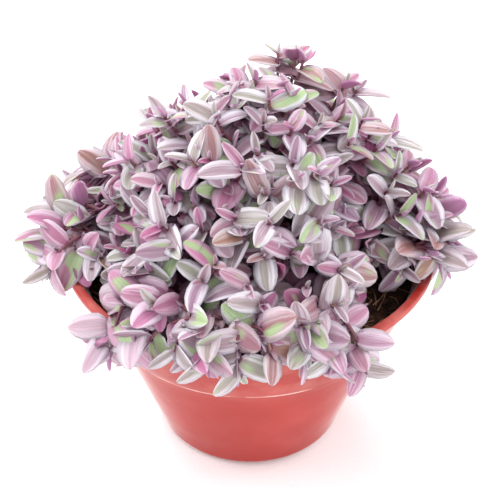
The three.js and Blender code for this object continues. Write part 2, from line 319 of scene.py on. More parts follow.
def drill_drain_holes(piece):
    """Cuts the ring of drain holes through the pot's floor."""
    cutter = bmesh.new()
    for i in range(DRAIN_HOLES):
        angle = 2 * math.pi * i / DRAIN_HOLES
        place = Vector((math.cos(angle), math.sin(angle), 0)) * DRAIN_CIRCLE_RADIUS
        bmesh.ops.create_cone(
            cutter,
            cap_ends=True,
            segments=24,
            radius1=DRAIN_HOLE_RADIUS,
            radius2=DRAIN_HOLE_RADIUS,
            depth=20 * MM,
            matrix=Matrix.Translation(place),
        )
    drill = mesh_object("drain_drill", [])
    cutter.to_mesh(drill.data)
    cutter.free()
    cut = piece.modifiers.new("drain holes", "BOOLEAN")
    cut.operation, cut.solver, cut.object = "DIFFERENCE", "EXACT", drill
    depsgraph = bpy.context.evaluated_depsgraph_get()
    mesh = bpy.data.meshes.new_from_object(piece.evaluated_get(depsgraph), depsgraph=depsgraph)
    piece.modifiers.clear()
    piece.data = mesh
    bpy.data.objects.remove(drill)


def polypropylene(pot):
    """Moulded polypropylene in terracotta red: satin and slightly translucent. Dust and a painted reflection of
    the leaves pale the collar, and a painted highlight runs along the step.
    """
    material, tree, shader = new_material(
        "polypropylene_terracotta",
        {
            "IOR": 1.49,
            "Subsurface Weight": 0.12,
            "Subsurface Scale": 0.004,
            "Subsurface Radius": (1.0, 0.35, 0.25),
            "Specular IOR Level": 0.36,
            "Sheen Weight": 1.0,
            "Sheen Roughness": 0.2,
        },
    )
    place = add(tree, "ShaderNodeTexCoord").outputs["Object"]
    height = add(tree, "ShaderNodeSeparateXYZ", {0: place}).outputs["Z"]
    # Cloudy change of tone over a few centimetres, as masterbatch leaves in recycled plastic.
    clouds = add(tree, "ShaderNodeTexNoise", {"Vector": place, "Scale": 28.0, "Detail": 3.0}).outputs["Fac"]
    tone = add(
        tree,
        "ShaderNodeValToRGB",
        {"Fac": clouds},
        stops=[(0.3, linear("#9e231b")), (0.55, tuple(pot.plastic)), (0.75, linear("#b0322b"))],
    ).outputs["Color"]
    # Dust and dried splashes, with a painted reflection of the foliage, pale the collar and fade out down the
    # body.
    collar = add(
        tree,
        "ShaderNodeMapRange",
        {"Value": height, "From Min": 0.045, "From Max": 0.06, "To Min": 0.02, "To Max": 0.26},
    ).outputs["Result"]
    dust_grain = add(tree, "ShaderNodeTexNoise", {"Vector": place, "Scale": 90.0, "Detail": 6.0}).outputs["Fac"]
    pale_spots = add(
        tree, "ShaderNodeMapRange", {"Value": dust_grain, "From Min": 0.42, "From Max": 0.75, "To Max": 1.0}
    ).outputs["Result"]
    dust_and_reflection = add(tree, "ShaderNodeMath", {0: collar, 1: pale_spots}, operation="MULTIPLY").outputs[0]
    dusty_and_reflecting = add(
        tree, "ShaderNodeMix", {"Factor": dust_and_reflection, 6: tone, 7: tuple(pot.plastic_dust_and_reflection)}, data_type="RGBA"
    ).outputs[2]
    # A painted highlight runs along the moulded step, broken into stretches a few millimetres long.
    step_middle = pot.collar_foot_height + 0.2 * MM
    above = add(tree, "ShaderNodeMath", {0: height, 1: step_middle}, operation="SUBTRACT").outputs[0]
    off_step = add(tree, "ShaderNodeMath", {0: above}, operation="ABSOLUTE").outputs[0]
    on_step = add(
        tree,
        "ShaderNodeMapRange",
        {"Value": off_step, "From Min": 0.3 * MM, "From Max": 0.9 * MM, "To Min": 1, "To Max": 0},
    ).outputs["Result"]
    breaks = add(tree, "ShaderNodeTexNoise", {"Vector": place, "Scale": 60.0, "Detail": 4.0}).outputs["Fac"]
    highlight_stretches = add(
        tree, "ShaderNodeMapRange", {"Value": breaks, "From Min": 0.46, "From Max": 0.6, "To Max": 0.85}
    ).outputs["Result"]
    step_highlight = add(tree, "ShaderNodeMath", {0: on_step, 1: highlight_stretches}, operation="MULTIPLY").outputs[0]
    highlighted = add(
        tree, "ShaderNodeMix", {"Factor": step_highlight, 6: dusty_and_reflecting, 7: linear("#f0cfc6")}, data_type="RGBA"
    ).outputs[2]
    tree.links.new(highlighted, shader.inputs["Base Color"])
    roughness = add(
        tree,
        "ShaderNodeMapRange",
        {"Value": dust_grain, "From Min": 0.3, "From Max": 0.7, "To Min": 0.36, "To Max": 0.5},
    ).outputs["Result"]
    tree.links.new(roughness, shader.inputs["Roughness"])
    # Orange peel of the mould, under a millimetre across, and a long ripple from uneven cooling.
    peel = add(tree, "ShaderNodeTexNoise", {"Vector": place, "Scale": 1500.0, "Detail": 2.0}).outputs["Fac"]
    ripple = add(tree, "ShaderNodeTexNoise", {"Vector": place, "Scale": 45.0, "Detail": 1.0}).outputs["Fac"]
    ripple_bump = add(tree, "ShaderNodeBump", {"Height": ripple, "Strength": 0.12, "Distance": 0.002})
    bump = add(
        tree,
        "ShaderNodeBump",
        {"Height": peel, "Strength": 0.1, "Distance": 0.0002, "Normal": ripple_bump.outputs["Normal"]},
    )
    tree.links.new(bump.outputs["Normal"], shader.inputs["Normal"])
    return material


class VINE_OT_pot(bpy.types.Operator):
    """Turns the pot from its section, drills its drain holes and finishes it as moulded plastic"""

    bl_idname = "turtle_vine.pot"
    bl_label = "Pot"

    def execute(self, context):
        pot = context.scene.turtle_vine.pot
        piece = turned("pan_pot", pot_profile(pot), POT_SIDES)
        drill_drain_holes(piece)
        smooth(piece.data, 34)
        piece.data.materials.append(polypropylene(pot))
        finish_piece(piece, "pot_plastic", "pot")
        return {"FINISHED"}


# ---- Potting mix ---------------------------------------------------------------------------------
MIX_REACH = 63.5 * MM  # just short of the wall
MIX_SIDES = 110


def mix_height(settings, pot, radius):
    """Height of the mix's even surface: a low mound that meets the wall."""
    share = min(1, radius / (outside_radius(pot, settings.edge_height) - pot.wall))
    return mix(settings.crown_height, settings.edge_height, share * share)


def lumpiness(x, y):
    """Height of the crumbled surface over the even one, in metres."""
    broad = noise.noise(Vector((x * 55, y * 55, 3.1)))
    fine = noise.noise(Vector((x * 260, y * 260, 7.7)))
    return (0.9 * broad + 0.5 * fine) * MM


def mix_profile(settings, pot):
    """Up the side of the root ball, 0.3 mm inside the pot, and in over the top by 2 mm rings."""
    clearance = pot.wall + 0.35 * MM
    floor = BASE_RECESS + pot.wall + 0.3 * MM
    step, edge_height = pot.collar_foot_height, settings.edge_height
    side = [(outside_radius(pot, z) - clearance, z) for z in (12 * MM, 30 * MM, step - 1 * MM)]
    side.append((pot.collar_foot_radius - clearance, step + 2 * MM))
    side.append((outside_radius(pot, edge_height) - clearance - 0.2 * MM, edge_height - 1.5 * MM))
    edge = side[-1][0] - 0.4 * MM
    rings = [(r, mix_height(settings, pot, r)) for r in np.linspace(edge, 2 * MM, 34)]
    return [(0, floor), (side[0][0] - 6 * MM, floor)] + side + rings + [(0, settings.crown_height)]


def crumb_tree(material):
    """Scatters irregular crumbs over the faces that look up."""
    tree, given = node_group("mix crumbs", Crumb_size="Float", Seed="Int")
    normal = add(tree, "GeometryNodeInputNormal").outputs[0]
    up = add(tree, "ShaderNodeSeparateXYZ", {0: normal}).outputs["Z"]
    level = add(tree, "FunctionNodeCompare", {0: up, 1: 0.6}, operation="GREATER_THAN").outputs[0]
    points = add(
        tree,
        "GeometryNodeDistributePointsOnFaces",
        {"Mesh": given["Geometry"], "Selection": level, "Density": 150000.0, "Seed": given["Seed"]},
    )
    ball = add(tree, "GeometryNodeMeshIcoSphere", {"Radius": 0.5, "Subdivisions": 1}).outputs["Mesh"]
    dents = add(tree, "ShaderNodeTexNoise", {"Scale": 1.6}, noise_dimensions="3D").outputs["Color"]
    centred = add(
        tree, "ShaderNodeVectorMath", {0: dents, 1: (0.5, 0.5, 0.5)}, operation="SUBTRACT"
    ).outputs[0]
    offset = add(tree, "ShaderNodeVectorMath", {0: centred, "Scale": 0.9}, operation="SCALE").outputs[0]
    crumb = add(tree, "GeometryNodeSetPosition", {"Geometry": ball, "Offset": offset}).outputs[0]
    turn = add(
        tree,
        "FunctionNodeRandomValue",
        {1: (6.28, 6.28, 6.28), "Seed": given["Seed"]},
        data_type="FLOAT_VECTOR",
    ).outputs[0]
    share = add(
        tree, "FunctionNodeRandomValue", {2: 0.18, 3: 1.0, "Seed": given["Seed"]}, data_type="FLOAT"
    ).outputs[1]
    small = add(tree, "ShaderNodeMath", {0: share, 1: 2.2}, operation="POWER").outputs[0]
    size = add(tree, "ShaderNodeMath", {0: small, 1: given["Crumb size"]}, operation="MULTIPLY").outputs[0]
    crumbs = add(
        tree,
        "GeometryNodeInstanceOnPoints",
        {"Points": points.outputs["Points"], "Instance": crumb, "Rotation": turn, "Scale": size},
    ).outputs[0]
    real = add(tree, "GeometryNodeRealizeInstances", {0: crumbs}).outputs[0]
    both = add(tree, "GeometryNodeJoinGeometry")
    tree.links.new(real, both.inputs[0])
    tree.links.new(given["Geometry"], both.inputs[0])
    dressed = add(tree, "GeometryNodeSetMaterial", {0: both.outputs[0], "Material": material}).outputs[0]
    add(tree, "NodeGroupOutput", {0: dressed})
    return tree


def damp_peat(settings):
    """Damp peat and bark: nearly black brown, matt, with lighter crumbs here and there."""
    material, tree, shader = new_material(
        "damp_peat", {"Roughness": 0.92, "IOR": 1.4, "Specular IOR Level": 0.3}
    )
    place = add(tree, "ShaderNodeTexCoord").outputs["Object"]
    crumbs = add(tree, "ShaderNodeTexVoronoi", {"Vector": place, "Scale": 520.0}).outputs["Color"]
    grain = add(tree, "ShaderNodeTexNoise", {"Vector": place, "Scale": 300.0, "Detail": 5.0}).outputs["Fac"]
    pick = add(tree, "ShaderNodeMix", {"Factor": 0.5, 6: crumbs, 7: grain}, data_type="RGBA").outputs[2]
    stops = [
        (0.25, linear("#140b08")),
        (0.5, tuple(settings.peat)),
        (0.68, linear("#4a3022")),
        (0.8, linear("#7a5a42")),
    ]
    shade = add(tree, "ShaderNodeValToRGB", {"Fac": pick}, stops=stops).outputs["Color"]
    tree.links.new(shade, shader.inputs["Base Color"])
    bump = add(tree, "ShaderNodeBump", {"Height": grain, "Strength": 0.8, "Distance": 0.0008})
    tree.links.new(bump.outputs["Normal"], shader.inputs["Normal"])
    return material


def coir_fibre(settings):
    """Coir: dry brown husk fibres, straw-coloured where the light catches them."""
    material, tree, shader = new_material("coir_fibre", {"Roughness": 0.7, "IOR": 1.5})
    place = add(tree, "ShaderNodeTexCoord").outputs["Object"]
    along = add(tree, "ShaderNodeTexNoise", {"Vector": place, "Scale": 160.0, "Detail": 2.0}).outputs["Fac"]
    stops = [(0.35, linear("#573a28")), (0.55, tuple(settings.coir)), (0.7, linear("#b08d68"))]
    shade = add(tree, "ShaderNodeValToRGB", {"Fac": along}, stops=stops).outputs["Color"]
    tree.links.new(shade, shader.inputs["Base Color"])
    return material


COIR_FIBRES = 700
FIBRE_POINTS = 6


def coir_lines(settings, pot):
    """Short curled fibres that lie on the mix, each as its points and their radii."""
    strands = []
    for i in range(COIR_FIBRES):
        radius = (MIX_REACH - 0.5 * MM) * math.sqrt(scatter(i, 31))
        angle = 2 * math.pi * scatter(i, 32)
        heading = 2 * math.pi * scatter(i, 33)
        curl = spread(i, 34, 1.4)
        step = mix(1.0, 2.4, scatter(i, 35)) * MM
        x, y = radius * math.cos(angle), radius * math.sin(angle)
        points = []
        for k in range(FIBRE_POINTS):
            reach = math.hypot(x, y)
            if reach > MIX_REACH:
                break
            share = k / (FIBRE_POINTS - 1)
            lift = 0.5 * MM + 0.9 * MM * math.sin(math.pi * share) * scatter(i, 36)
            surface = mix_height(settings, pot, reach) + lumpiness(x, y)
            points.append(Vector((x, y, surface + lift)))
            x, y = x + step * math.cos(heading), y + step * math.sin(heading)
            heading += curl / (FIBRE_POINTS - 1)
        if len(points) > 2:
            strands.append((points, [mix(0.1, 0.24, scatter(i, 37)) * MM] * len(points)))
    return strands


class VINE_OT_mix(bpy.types.Operator):
    """Builds the root ball with its crumbled surface, crumbs and coir fibres"""

    bl_idname = "turtle_vine.mix"
    bl_label = "Potting mix"

    def execute(self, context):
        vine = context.scene.turtle_vine
        settings = vine.mix
        ball = turned("root_ball", mix_profile(settings, vine.pot), MIX_SIDES)
        for vertex in ball.data.vertices:
            reach = math.hypot(vertex.co.x, vertex.co.y)
            if vertex.co.z > settings.edge_height - 0.1 * MM and reach < MIX_REACH + 0.1 * MM:
                vertex.co.z += lumpiness(vertex.co.x, vertex.co.y)
        tree = crumb_tree(damp_peat(settings))
        mesh = grown_mesh(ball, tree, {"Crumb size": settings.crumb_size, "Seed": settings.crumb_seed})
        ball.data = mesh
        smooth(mesh, 60)
        finish_piece(ball, "potting_mix", "potting_mix")
        fibres = strands_object("coir_fibres", coir_lines(settings, vine.pot), 4, coir_fibre(settings))
        finish_piece(fibres, "potting_mix")
        return {"FINISHED"}


# ---- Stems ---------------------------------------------------------------------------------------
def strand_tree(material, sides):
    """Thickens a line of edges to its own radius at every point."""
    tree, given = node_group("strands to stems", Thickening="Float")
    radius = add(tree, "GeometryNodeInputNamedAttribute", {0: "strand_radius"}, data_type="FLOAT").outputs[0]
    scaled = add(tree, "ShaderNodeMath", {0: radius, 1: given["Thickening"]}, operation="MULTIPLY").outputs[0]
    line = add(tree, "GeometryNodeMeshToCurve", {0: given["Geometry"]}).outputs[0]
    sized = add(tree, "GeometryNodeSetCurveRadius", {"Curve": line, "Radius": scaled}).outputs[0]
    ring = add(tree, "GeometryNodeCurvePrimitiveCircle", {"Resolution": sides, "Radius": 1.0}).outputs[0]
    tube = add(
        tree,
        "GeometryNodeCurveToMesh",
        {"Curve": sized, "Profile Curve": ring, "Scale": scaled, "Fill Caps": True},
    ).outputs[0]
    real = add(tree, "GeometryNodeRealizeInstances", {0: tube}).outputs[0]
    dressed = add(tree, "GeometryNodeSetMaterial", {0: real, "Material": material}).outputs[0]
    add(tree, "NodeGroupOutput", {0: dressed})
    return tree


def strands_object(name, strands, sides, material):
    """One mesh of tubes along strands. Each strand is its points and their radii."""
    points = [p for line, _ in strands for p in line]
    radii = [r for _, line in strands for r in line]
    edges, start = [], 0
    for line, _ in strands:
        edges += [(i, i + 1) for i in range(start, start + len(line) - 1)]
        start += len(line)
    piece = mesh_object(name, points, edges=edges)
    put_attribute(piece.data, "strand_radius", "FLOAT", radii)
    mesh = grown_mesh(piece, strand_tree(material, sides), {"Thickening": 1.0})
    piece.data = mesh
    smooth(mesh, 70)
    return piece


# The canopy, in millimetres. Its tips make a dome.
LIP_Z = POT_BOX[1].z / MM
CANOPY_FOOT_Z = LIP_Z + 4
CANOPY_HEIGHT = 51
CANOPY_PEAK = (3, 18)
FIELD_SHOOTS = 46
GOLDEN_ANGLE = math.pi * (3 - math.sqrt(5))
PLANTED_SHARE = 0.68  # of the canopy's reach
CLOSEST_TIPS = 5.8
CROWN_CLEARANCE = 20  # round the tips of the crown shoots

# A stem leaves its root or parent and comes to its tip along straight lines: shares of its span.
STEM_START = 0.42
BRANCH_START = 0.4
STEM_END = 0.38
OVER_LIP_REACH = 62  # a stem that reaches further from the axis passes high over the lip

# Each is (name, root azimuth and radius, tip azimuth, radius and height over the lip, and how
# steeply its last stretch rises).
LONG_SHOOTS = [
    ("trailer_front_left", -126, 42, -133, 75, -6, -0.8),
    ("trailer_left", -174, 44, -169, 78, -1, -0.5),
    ("trailer_front_right", -64, 44, -61, 75, -7, -1.0),
    ("trailer_front", -93, 47, -93, 74, -1, -0.9),
    ("trailer_right", -12, 46, -17, 74, 2, -0.8),
    ("trailer_back", 112, 46, 112, 71, 4, -0.5),
    ("trailer_back_right", 48, 44, 46, 70, 8, -0.3),
    ("trailer_back_left", 148, 46, 150, 74, 6, -0.4),
    ("crown_shoot_back", 66, 26, 67, 44, 55, 1.6),
    ("crown_shoot_right", 44, 30, 47, 50, 46, 1.1),
]


def near(azimuth, centre, width):
    """A smooth rise of 1 at a centre, gone a few widths away. Centre and width are in degrees."""
    apart = azimuth - math.radians(centre)
    apart = math.atan2(math.sin(apart), math.cos(apart))
    return math.exp(-((apart / math.radians(width)) ** 2))


def canopy_reach(azimuth):
    """How far from the axis the tips reach, in millimetres."""
    bare_lip = 3 * near(azimuth, -90, 35) + 24 * near(azimuth, -42, 14) + 16 * near(azimuth, -152, 15)
    return 70 - bare_lip - 17 * near(azimuth, 42, 24) - 9 * near(azimuth, 115, 28)


def canopy_point(azimuth, polar):
    """A point of the dome of tips, where polar is 0 at the peak and a right angle at the foot."""
    rise = max(0.0, math.cos(polar))
    drawn_in = 0.1 + 0.22 * near(azimuth, 100, 50)
    reach = canopy_reach(azimuth) * math.sin(polar) * (1 - drawn_in * rise)
    height = CANOPY_HEIGHT - 16 * near(azimuth, 52, 30) * math.sin(polar)
    flank = 11 * near(azimuth, 146, 34) * math.sin(2 * min(polar, math.pi / 2))
    x = reach * math.cos(azimuth) + CANOPY_PEAK[0] * rise
    y = reach * math.sin(azimuth) + CANOPY_PEAK[1] * rise
    return Vector((x, y, CANOPY_FOOT_Z + height * rise**1.25 - flank))


def outward_heading(azimuth, polar, lift):
    """The direction out of the dome at a point of it, tipped up."""
    flat, up = math.sin(polar), math.cos(polar) + lift
    return Vector((flat * math.cos(azimuth), flat * math.sin(azimuth), up)).normalized()


def polar_vector(azimuth_degrees, radius, z=0.0):
    azimuth = math.radians(azimuth_degrees)
    return Vector((radius * math.cos(azimuth), radius * math.sin(azimuth), z))


def main_shoots():
    """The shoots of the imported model, as (node name, root, tip, heading) in millimetres."""
    shoots = []
    for i in range(FIELD_SHOOTS):
        share = math.sqrt((i + 0.5) / FIELD_SHOOTS)
        azimuth = i * GOLDEN_ANGLE + 0.12 * (scatter(i, 1) - 0.5)
        polar = math.acos(1 - share * share) + 0.06 * (scatter(i, 2) - 0.5)
        planted = PLANTED_SHARE * canopy_reach(azimuth) * share**1.15
        root = Vector((planted * math.cos(azimuth), planted * math.sin(azimuth), 0))
        tip = canopy_point(azimuth, polar)
        shoots.append((f"shoot_{i + 1:02d}", root, tip, outward_heading(azimuth, polar, 0.25)))
    for name, root_azimuth, root_radius, tip_azimuth, tip_radius, over_lip, rise in LONG_SHOOTS:
        outward = polar_vector(tip_azimuth, 1)
        tip = outward * tip_radius + Vector((0, 0, LIP_Z + over_lip))
        heading = (outward + Vector((0, 0, rise))).normalized()
        shoots.append((name, polar_vector(root_azimuth, root_radius), tip, heading))
    return shoots


def packed_root(node):
    """The middle of a packed shoot's lowest face, where its stem starts."""
    points = np.array([v.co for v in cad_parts[node].data.vertices]) / MM
    lowest = points[points[:, 2] < points[:, 2].min() + 0.05]
    return Vector(lowest.mean(axis=0))


def bezier(points, share):
    rest = 1 - share
    weights = (rest**3, 3 * rest * rest * share, 3 * rest * share * share, share**3)
    return sum((p * w for p, w in zip(points, weights)), Vector((0, 0, 0)))


def stem_points(node, root, tip, heading):
    """The Bezier points of a packed shoot's stem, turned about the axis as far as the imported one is."""
    start = packed_root(node)
    planned = math.atan2(root.y, root.x)
    turn = Matrix.Rotation(math.atan2(start.y, start.x) - planned, 3, "Z")
    span = (Vector((root.x, root.y, start.z)) - tip).length
    rise = Vector((start.x, start.y, start.z + STEM_START * span))
    approach = tip - heading * STEM_END * span
    if math.hypot(tip.x, tip.y) > OVER_LIP_REACH:
        approach.z = max(approach.z, LIP_Z + 22)
    return [start, rise, turn @ approach, turn @ tip]


STRAND_STEP = 2.6
SWAY = 2.2
SWAYS_PER_MM = 0.06


class Strand:
    """A stem's line as evenly spaced points, with its length, in millimetres."""

    def __init__(self, name, controls, seed, main):
        self.name, self.seed, self.main = name, seed, main
        self.crown, self.trailer = name.startswith("crown"), name.startswith("trailer")
        rough = [bezier(controls, i / 24) for i in range(25)]
        self.length = sum((b - a).length for a, b in zip(rough, rough[1:]))
        self.points = resampled(rough, max(6, round(self.length / STRAND_STEP)))
        self.wander()

    def wander(self):
        """Lets the line wander a little, as nodes and gravity make it, but keeps both its ends."""
        last = len(self.points) - 1
        for i, point in enumerate(self.points):
            place = point * SWAYS_PER_MM
            offsets = [Vector((self.seed * 3.7, k * 9.1, 0)) for k in range(3)]
            sway = Vector([noise.noise(place + offset) for offset in offsets])
            self.points[i] = point + sway * SWAY * math.sin(math.pi * i / last)

    def at(self, distance_from_tip):
        """The point and the direction at a distance back from the tip."""
        step = self.length / (len(self.points) - 1)
        place = len(self.points) - 1 - distance_from_tip / step
        low = min(max(int(math.floor(place)), 0), len(self.points) - 2)
        a, b = self.points[low], self.points[low + 1]
        return a.lerp(b, place - low), (b - a).normalized()


def resampled(points, count):
    """The same line with count + 1 evenly spaced points."""
    lengths = [0.0]
    for a, b in zip(points, points[1:]):
        lengths.append(lengths[-1] + (b - a).length)
    result, k = [], 0
    for i in range(count + 1):
        wanted = lengths[-1] * i / count
        while k < len(points) - 2 and lengths[k + 1] < wanted:
            k += 1
        gap = lengths[k + 1] - lengths[k]
        result.append(points[k].lerp(points[k + 1], (wanted - lengths[k]) / gap if gap else 0))
    return result


def branch(parent, back, tip, heading, seed, lowest=None):
    """A side shoot that leaves its parent some way back from the tip and comes in along a heading."""
    start, along = parent.at(back)
    span = (tip - start).length
    approach = tip - heading * STEM_END * span
    if lowest is not None:
        approach.z = max(approach.z, lowest)
    controls = [start, start + along * BRANCH_START * span, approach, tip]
    return Strand(parent.name, controls, seed, False)


def side_strands(mains, places):
    """Side shoots that fill the dome between the main tips, each grown from the nearest main stem."""
    tips = [strand.points[-1] for strand in mains]
    crowns = [strand.points[-1] for strand in mains if strand.crown]
    made = []
    for i in range(places):
        azimuth = i * GOLDEN_ANGLE + 1.9
        # The last few places are past the dome's foot, and hang under it.
        polar = math.acos(1 - 1.09 * ((i + 0.5) / places))
        tip = canopy_point(azimuth, min(polar, math.pi / 2))
        tip.z -= 26 * max(0.0, polar - math.pi / 2)
        heading = outward_heading(azimuth, polar, 0.35)
        proud = spread(i, 11, 6) - 1.5
        tip += heading * proud + Vector((spread(i, 12, 3), spread(i, 13, 3), 0))
        if min((tip - other).length for other in tips) < CLOSEST_TIPS:
            continue
        if min((tip - crown).length for crown in crowns) < CROWN_CLEARANCE:
            continue
        parent = min(mains, key=lambda strand: (strand.at(strand.length * 0.25)[0] - tip).length)
        reach = (parent.at(parent.length * 0.45)[0] - tip).length
        back = min(parent.length * 0.72, max(parent.length * 0.3, reach * 0.8))
        lowest = LIP_Z + 10 if math.hypot(tip.x, tip.y) > OVER_LIP_REACH else None
        made.append(branch(parent, back, tip, heading, 100 + i, lowest))
        tips.append(tip)
    return made


# More shoots beside the long ones, most of which creep over the lip: (parent, azimuth, radius,
# height over the lip, rise).
COMPANION_TIPS = [
    ("trailer_front_left", -130, 75, -8, -0.9),
    ("trailer_front_left", -123, 73, -5, -0.8),
    ("trailer_left", -175, 77, 3, -0.2),
    ("trailer_left", -163, 76, 2, -0.4),
    ("trailer_left", 177, 74, 9, 0.1),
    ("trailer_front", -84, 73, 2, -0.7),
    ("trailer_front", -101, 74, 1, -0.8),
    ("trailer_front", -110, 73, 3, -0.6),
    ("trailer_front", -118, 72, 3, -0.5),
    ("trailer_front_right", -68, 74, -1, -0.8),
    ("trailer_front_right", -60, 75, -9, -1.0),
    ("trailer_front_right", -76, 73, 1, -0.7),
    ("trailer_right", -9, 74, 6, -0.4),
    ("trailer_right", -20, 72, 7, -0.4),
    ("trailer_right", -4, 70, 14, 0.1),
    ("trailer_right", 6, 72, 13, 0.0),
    ("trailer_right", -24, 62, 11, 0.2),
    ("trailer_right", -14, 60, 16, 0.4),
    ("trailer_right", -26, 54, 6, 0.3),
    ("trailer_right", -16, 52, 9, 0.4),
    ("trailer_right", 8, 62, 12, 0.4),
    ("trailer_back", 104, 70, 8, -0.2),
    ("trailer_back", 120, 70, 6, -0.3),
    ("trailer_back_right", 54, 68, 12, 0.0),
    ("trailer_back_right", 38, 69, 10, -0.1),
    ("trailer_back_right", 30, 57, 13, 0.5),
    ("trailer_back_right", 18, 61, 12, 0.3),
    ("trailer_back_right", 22, 48, 14, 0.7),
    ("trailer_back_left", 142, 72, 9, -0.1),
    ("trailer_back_left", 158, 73, 8, -0.2),
    ("crown_shoot_back", 76, 44, 55, 1.1),
    ("crown_shoot_back", 60, 40, 57, 1.3),
    ("crown_shoot_right", 41, 54, 43, 0.8),
]


def companion_strands(mains):
    """The short shoots beside each long one."""
    parents = {strand.name: strand for strand in mains}
    made = []
    for i, (name, azimuth, radius, over_lip, rise) in enumerate(COMPANION_TIPS):
        parent = parents[name]
        tip = polar_vector(azimuth, radius, LIP_Z + over_lip)
        heading = (polar_vector(azimuth, 1) + Vector((0, 0, rise))).normalized()
        made.append(branch(parent, parent.length * 0.5, tip, heading, 500 + i, LIP_Z + 15))
    return made


def all_strands(foliage):
    """Every stem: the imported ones, their companions and the side shoots."""
    mains = []
    for i, (name, root, tip, heading) in enumerate(main_shoots()):
        mains.append(Strand(name, stem_points(name, root, tip, heading), i, True))
    return mains + companion_strands(mains) + side_strands(mains, foliage.side_tips)


def stem_skin(foliage):
    """A creeper's juicy stem: satin skin, plum brown, in patches from dark plum to pale brown."""
    material, tree, shader = new_material(
        "creeper_stem", {"Roughness": 0.42, "IOR": 1.4, "Subsurface Weight": 0.15, "Subsurface Scale": 0.001}
    )
    place = add(tree, "ShaderNodeTexCoord").outputs["Object"]
    patches = add(tree, "ShaderNodeTexNoise", {"Vector": place, "Scale": 110.0, "Detail": 2.0}).outputs["Fac"]
    stops = [(0.32, linear("#4f2a35")), (0.52, tuple(foliage.stem)), (0.7, linear("#98766a"))]
    shade = add(tree, "ShaderNodeValToRGB", {"Fac": patches}, stops=stops).outputs["Color"]
    tree.links.new(shade, shader.inputs["Base Color"])
    return material


class VINE_OT_stems(bpy.types.Operator):
    """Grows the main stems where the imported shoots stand, and their side shoots between them"""

    bl_idname = "turtle_vine.stems"
    bl_label = "Stems"

    def execute(self, context):
        foliage = context.scene.turtle_vine.foliage
        thick = foliage.stem_radius
        lines = []
        for strand in all_strands(foliage):
            last = len(strand.points) - 1
            root_radius = thick if strand.main else 0.8 * thick
            radii = [mix(root_radius, 0.5 * thick, i / last) for i in range(last + 1)]
            lines.append(([p * MM for p in strand.points], radii))
        piece = strands_object("vine_stems", lines, 6, stem_skin(foliage))
        finish_piece(piece, "shoots", *SHOOT_NODES)
        return {"FINISHED"}


# ---- Leaves --------------------------------------------------------------------------------------
# A leaf's outline from its clasping base to its point, as (share of its length, share of its
# greatest half width).
OUTLINE = [
    (0.0, 0.42),
    (0.08, 0.74),
    (0.22, 0.95),
    (0.42, 1.0),
    (0.64, 0.93),
    (0.83, 0.68),
    (0.95, 0.34),
    (1.0, 0.0),
]
ACROSS = (-1.0, -0.5, 0.0, 0.5, 1.0)
LEAF_THICKNESS = 0.035
BASE_CURLS = (60, 25)  # how much further the first rows curl up to clasp the stem, in degrees

# Each form is its breadth over its length, then in degrees how far the sides fold up, the rise at
# the base, the bend to the tip and the twist.
LEAF_FORMS = [
    (0.46, 62, 6, -8, 5),
    (0.58, 36, 8, -22, -8),
    (0.67, 24, 8, -30, 6),
    (0.69, 16, 6, -26, -10),
    (0.62, 30, 12, -46, 12),
    (0.71, 12, 4, -18, 4),
]


def blade_rows(breadth, fold, rise, bend, twist):
    """Points of a blade's upper and lower skin and their places on its chart, row by row from the base."""
    spine, heading = Vector((0, 0, 0)), math.radians(rise)
    top, bottom, charts = [], [], []
    previous = 0.0
    for row, (share, width) in enumerate(OUTLINE):
        step = share - previous
        previous = share
        heading += math.radians(bend) * step
        spine = spine + Vector((math.cos(heading), 0, math.sin(heading))) * step
        turn = Matrix.Rotation(math.radians(twist) * share, 3, "X")
        up = Vector((-math.sin(heading), 0, math.cos(heading)))
        curl = math.radians(fold + (BASE_CURLS[row] if row < len(BASE_CURLS) else 0))
        reach = breadth / 2 * width
        for across in ACROSS:
            side = reach * math.sin(curl * across) / curl
            lift = reach * (1 - math.cos(curl * across)) / curl
            point = turn @ Vector((0, side, 0)) + up * lift
            thick = LEAF_THICKNESS * 0.5 * (1 - across * across) * (0.0 if row == 0 else width)
            top.append(spine + point + up * thick)
            bottom.append(spine + point - up * thick)
            charts.append(((across + 1) / 2, share))
    return top, bottom, charts


def leaf_form(name, breadth, fold, rise, bend, twist):
    """A leaf of unit length along +X, upper side to +Z: a closed blade, thickest along the middle."""
    top, bottom, charts = blade_rows(breadth, fold, rise, bend, twist)
    columns, rows = len(ACROSS), len(OUTLINE)
    vertices, index = [], {}
    for k in range((rows - 1) * columns):
        edge = k < columns or k % columns in (0, columns - 1)
        index["top", k] = len(vertices)
        vertices.append(top[k])
        index["bottom", k] = index["top", k]
        if not edge:
            index["bottom", k] = len(vertices)
            vertices.append(bottom[k])
    tip = len(vertices)
    vertices.append(top[-1])
    faces, charted, under = [], [], []
    for side in ("top", "bottom"):
        for row in range(rows - 1):
            for column in range(columns - 1):
                k = row * columns + column
                if row == rows - 2:
                    corners = [index[side, k], tip, index[side, k + 1]]
                    chart = [charts[k], (0.5, 1.0), charts[k + 1]]
                else:
                    ring = (k, k + columns, k + columns + 1, k + 1)
                    corners = [index[side, j] for j in ring]
                    chart = [charts[j] for j in ring]
                if side == "bottom":
                    corners, chart = corners[::-1], chart[::-1]
                faces.append(corners)
                charted += chart
                under.append(side == "bottom")
    leaf = mesh_object(name, vertices, faces)
    chart_layer = leaf.data.uv_layers.new(name="UVMap")
    for loop, place in zip(chart_layer.data, charted):
        loop.uv = place
    mark = leaf.data.attributes.new("leaf_under", "BOOLEAN", "FACE")
    mark.data.foreach_set("value", under)
    return leaf


